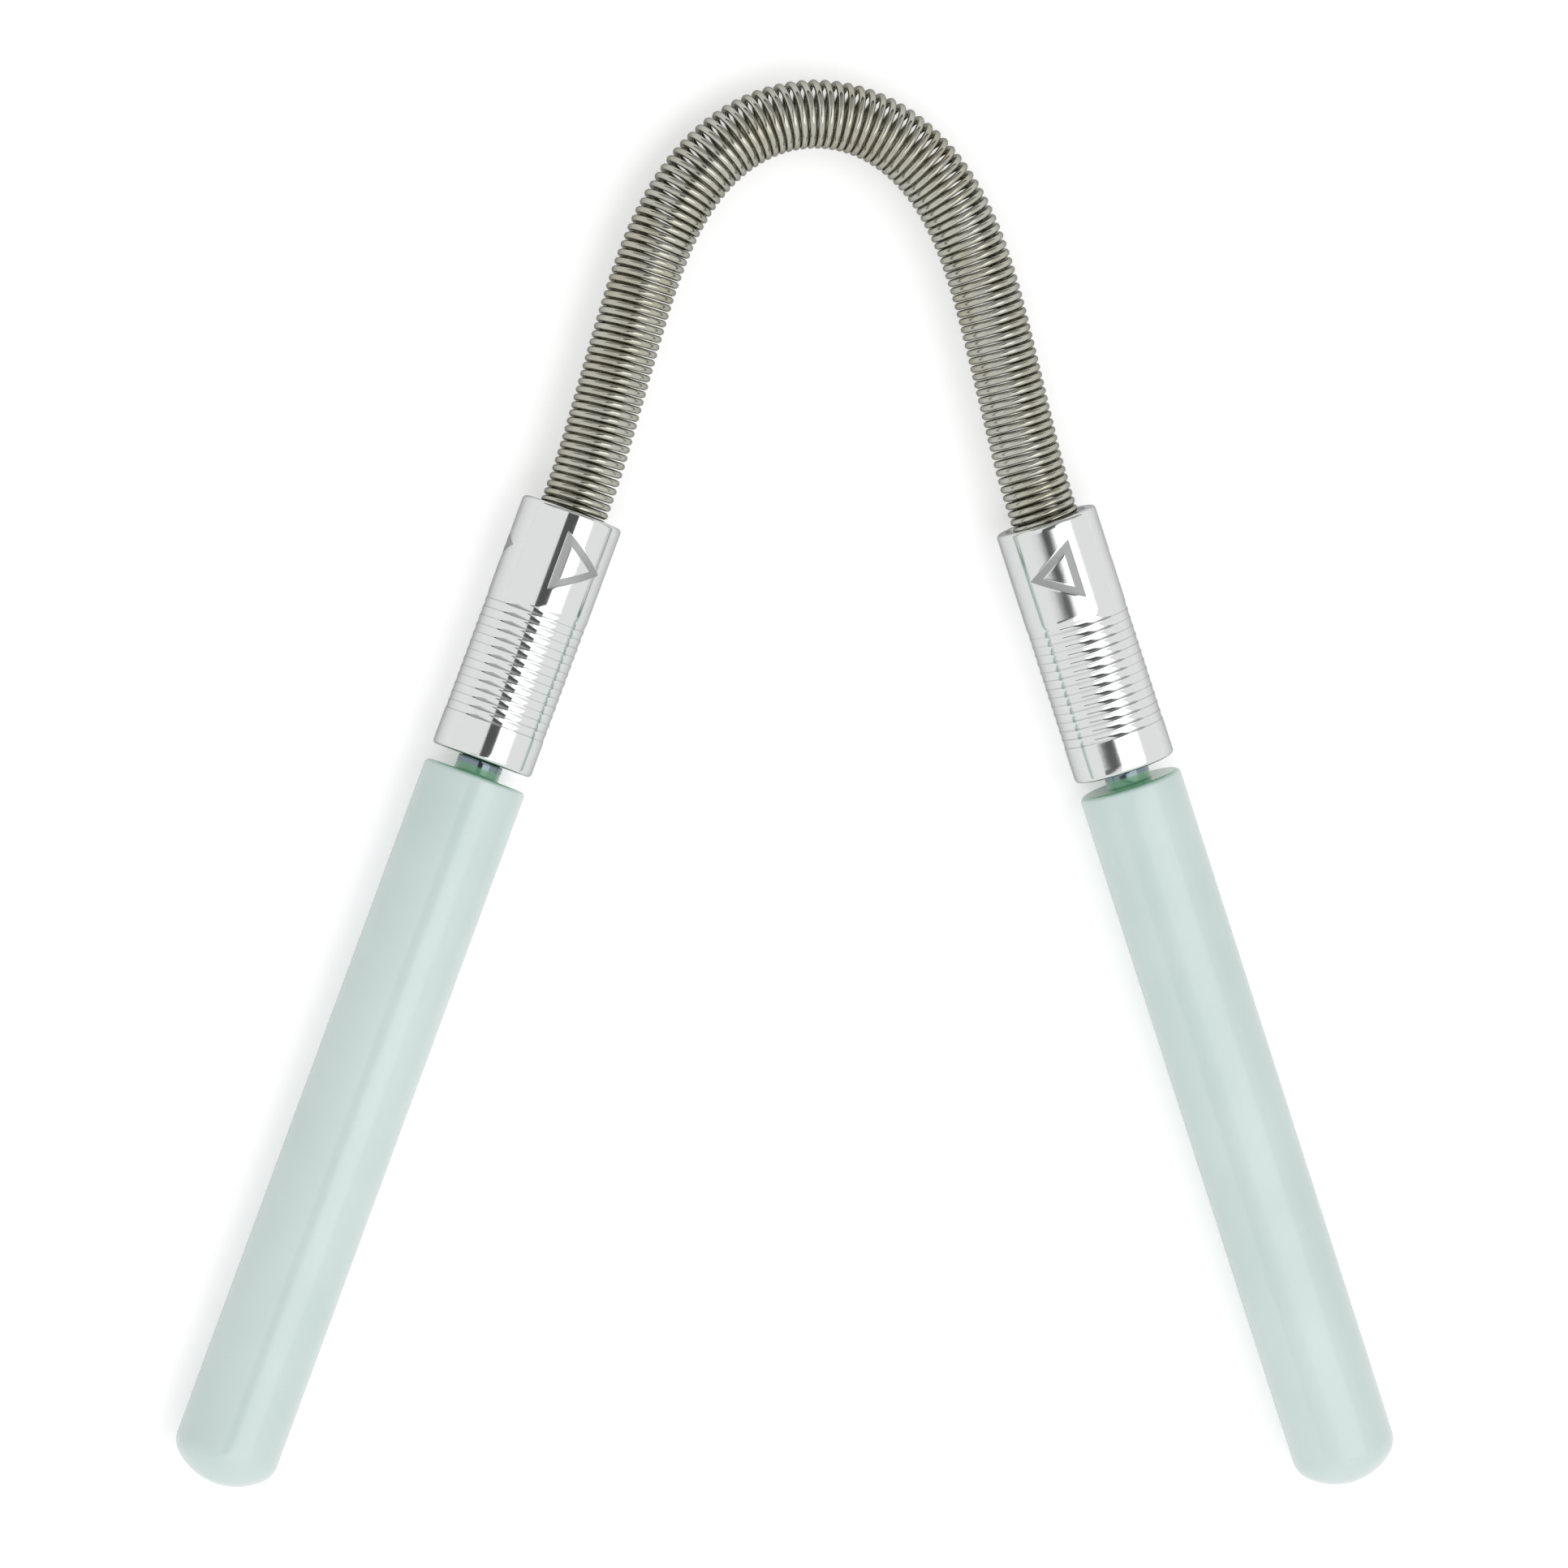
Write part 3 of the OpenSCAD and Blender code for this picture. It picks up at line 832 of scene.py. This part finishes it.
def make_far_wall(stage):
    """A wall behind the bend that faces the object, dark at the foot and paler above."""
    f = Finish("far_wall", Roughness=0.9, Specular_IOR_Level=0.0)
    y = f.add("SeparateXYZ", {"Vector": f.add("TexCoord").outputs["Object"]}).outputs[1]
    pale = f.fit(y, WALL_DARK_UP_TO, WALL_PALE_FROM, 0, 1)
    f.set(f.shader, "Base Color", f.mix(pale, stage.wall, stage.wall_top))
    wall = plate("far_wall", WALL_ACROSS, WALL_UP, f.material)
    centre = Vector(WALL_CENTRE)
    facing = centre.to_track_quat("Z", "Y").to_matrix()
    wall.matrix_world = Matrix.Translation(centre) @ facing.to_4x4()
    wall.visible_camera = False


# Operators


class Builder:
    """What the operators share: the sidebar's undo option and the settings of the scene."""

    bl_options = {"REGISTER", "UNDO"}

    def execute(self, context):
        """Builds from the scene's settings."""
        self.build(context.scene.hair_remover)
        return {"FINISHED"}


class HAIR_REMOVER_OT_camera(Builder, bpy.types.Operator):
    """Set the camera where the photograph was taken from"""

    bl_idname = "hair_remover.camera"
    bl_label = "Camera"

    def build(self, settings):
        """The scene's only camera."""
        aim_camera(settings.stage)


class HAIR_REMOVER_OT_coil(Builder, bpy.types.Operator):
    """Wind the spring along its bent centreline"""

    bl_idname = "hair_remover.coil"
    bl_label = "Coil spring"

    def build(self, settings):
        """The spring bends round the top of the bend, and its legs lean with the arms into the
        ferrules.
        """
        left, right = (Arm(side, settings.ferrule) for side in (-1, 1))
        lean = math.atan2(abs(right.along[0]), abs(right.along[1]))
        make_coil(settings.coil, lean)


class HAIR_REMOVER_OT_ferrules(Builder, bpy.types.Operator):
    """Turn the two ferrules with their grip rings and etched triangles"""

    bl_idname = "hair_remover.ferrules"
    bl_label = "Ferrules"

    def build(self, settings):
        """One turned body for each side."""
        ferrule = settings.ferrule
        metal = turned_aluminium(ferrule)
        profile, marks = ferrule_profile(ferrule), ferrule_cut(ferrule)
        for side in (-1, 1):
            arm = Arm(side, ferrule)
            made = arm.turned(
                f"{arm.side}_ferrule_body", profile, ferrule.columns, closed_rows=True, sink=marks
            )
            made.data.materials.append(metal)
            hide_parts(f"{arm.side}_ferrule")
            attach(made, f"{arm.side}_grip")


class HAIR_REMOVER_OT_handles(Builder, bpy.types.Operator):
    """Turn the two lacquered handles"""

    bl_idname = "hair_remover.handles"
    bl_label = "Handles"

    def build(self, settings):
        """One turned body for each side, in one lacquer."""
        handle, ferrule = settings.handle, settings.ferrule
        lacquer = mint_lacquer(handle, ferrule)
        profile = handle_profile(handle, ferrule)
        for side in (-1, 1):
            arm = Arm(side, ferrule)
            made = arm.turned(f"{arm.side}_handle_body", profile, handle.columns)
            made.data.materials.append(lacquer)
            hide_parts(f"{arm.side}_handle")
            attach(made, f"{arm.side}_turning_handle")


class HAIR_REMOVER_OT_inner_parts(Builder, bpy.types.Operator):
    """Finish the plugs, washers and screws inside the ferrules"""

    bl_idname = "hair_remover.inner_parts"
    bl_label = "Inner parts"

    def build(self, settings):
        """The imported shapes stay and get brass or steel."""
        inner = settings.inner
        brass = inner_metal("plain_brass", inner.brass, inner.dull_brass, 900, 6000, 0.2, 0.4)
        steel = inner_metal("screw_steel", inner.steel, inner.oiled_steel, 1200, 7000, 0.22, 0.38)
        metals = {"spring_plug": brass, "thrust_washer": brass, "retaining_screw": steel}
        for side in ("left", "right"):
            for part, metal in metals.items():
                for material_slot in frame["nodes"][f"{side}_{part}"].material_slots:
                    material_slot.material = metal


class HAIR_REMOVER_OT_stage(Builder, bpy.types.Operator):
    """Lay the floor and set the lights"""

    bl_idname = "hair_remover.stage"
    bl_label = "Floor and lights"

    def build(self, settings):
        """A pale floor, light from all round and overhead, a dark card and a far wall."""
        for make in (make_floor, make_sky, make_lights, make_lens_card, make_far_wall):
            make(settings.stage)


class HAIR_REMOVER_PT_panel(bpy.types.Panel):
    """Lists the pieces and the stage"""

    bl_idname = "HAIR_REMOVER_PT_panel"
    bl_label = "Hair remover"
    bl_space_type = "VIEW_3D"
    bl_region_type = "UI"
    bl_category = "Hair remover"

    def draw(self, context):
        """One button for each operator."""
        for operator in OPERATORS:
            self.layout.operator(operator.bl_idname)


OPERATORS = (
    HAIR_REMOVER_OT_camera,
    HAIR_REMOVER_OT_coil,
    HAIR_REMOVER_OT_ferrules,
    HAIR_REMOVER_OT_handles,
    HAIR_REMOVER_OT_inner_parts,
    HAIR_REMOVER_OT_stage,
)
SETTINGS = (
    CoilSettings,
    FerruleSettings,
    HandleSettings,
    InnerSettings,
    StageSettings,
    HairRemoverSettings,
)
CLASSES = (*SETTINGS, *OPERATORS, HAIR_REMOVER_PT_panel)


def register():
    """Registers the settings, the operators and the panel."""
    for kind in CLASSES:
        bpy.utils.register_class(kind)
    bpy.types.Scene.hair_remover = bpy.props.PointerProperty(type=HairRemoverSettings)


def unregister():
    """Undoes register."""
    del bpy.types.Scene.hair_remover
    for kind in reversed(CLASSES):
        bpy.utils.unregister_class(kind)


def main():
    """Builds everything in order."""
    register()
    bpy.context.scene.view_settings.view_transform = "Standard"
    for operator in OPERATORS:
        getattr(bpy.ops.hair_remover, operator.bl_idname.split(".")[1])()


if __name__ == "__main__":
    main()
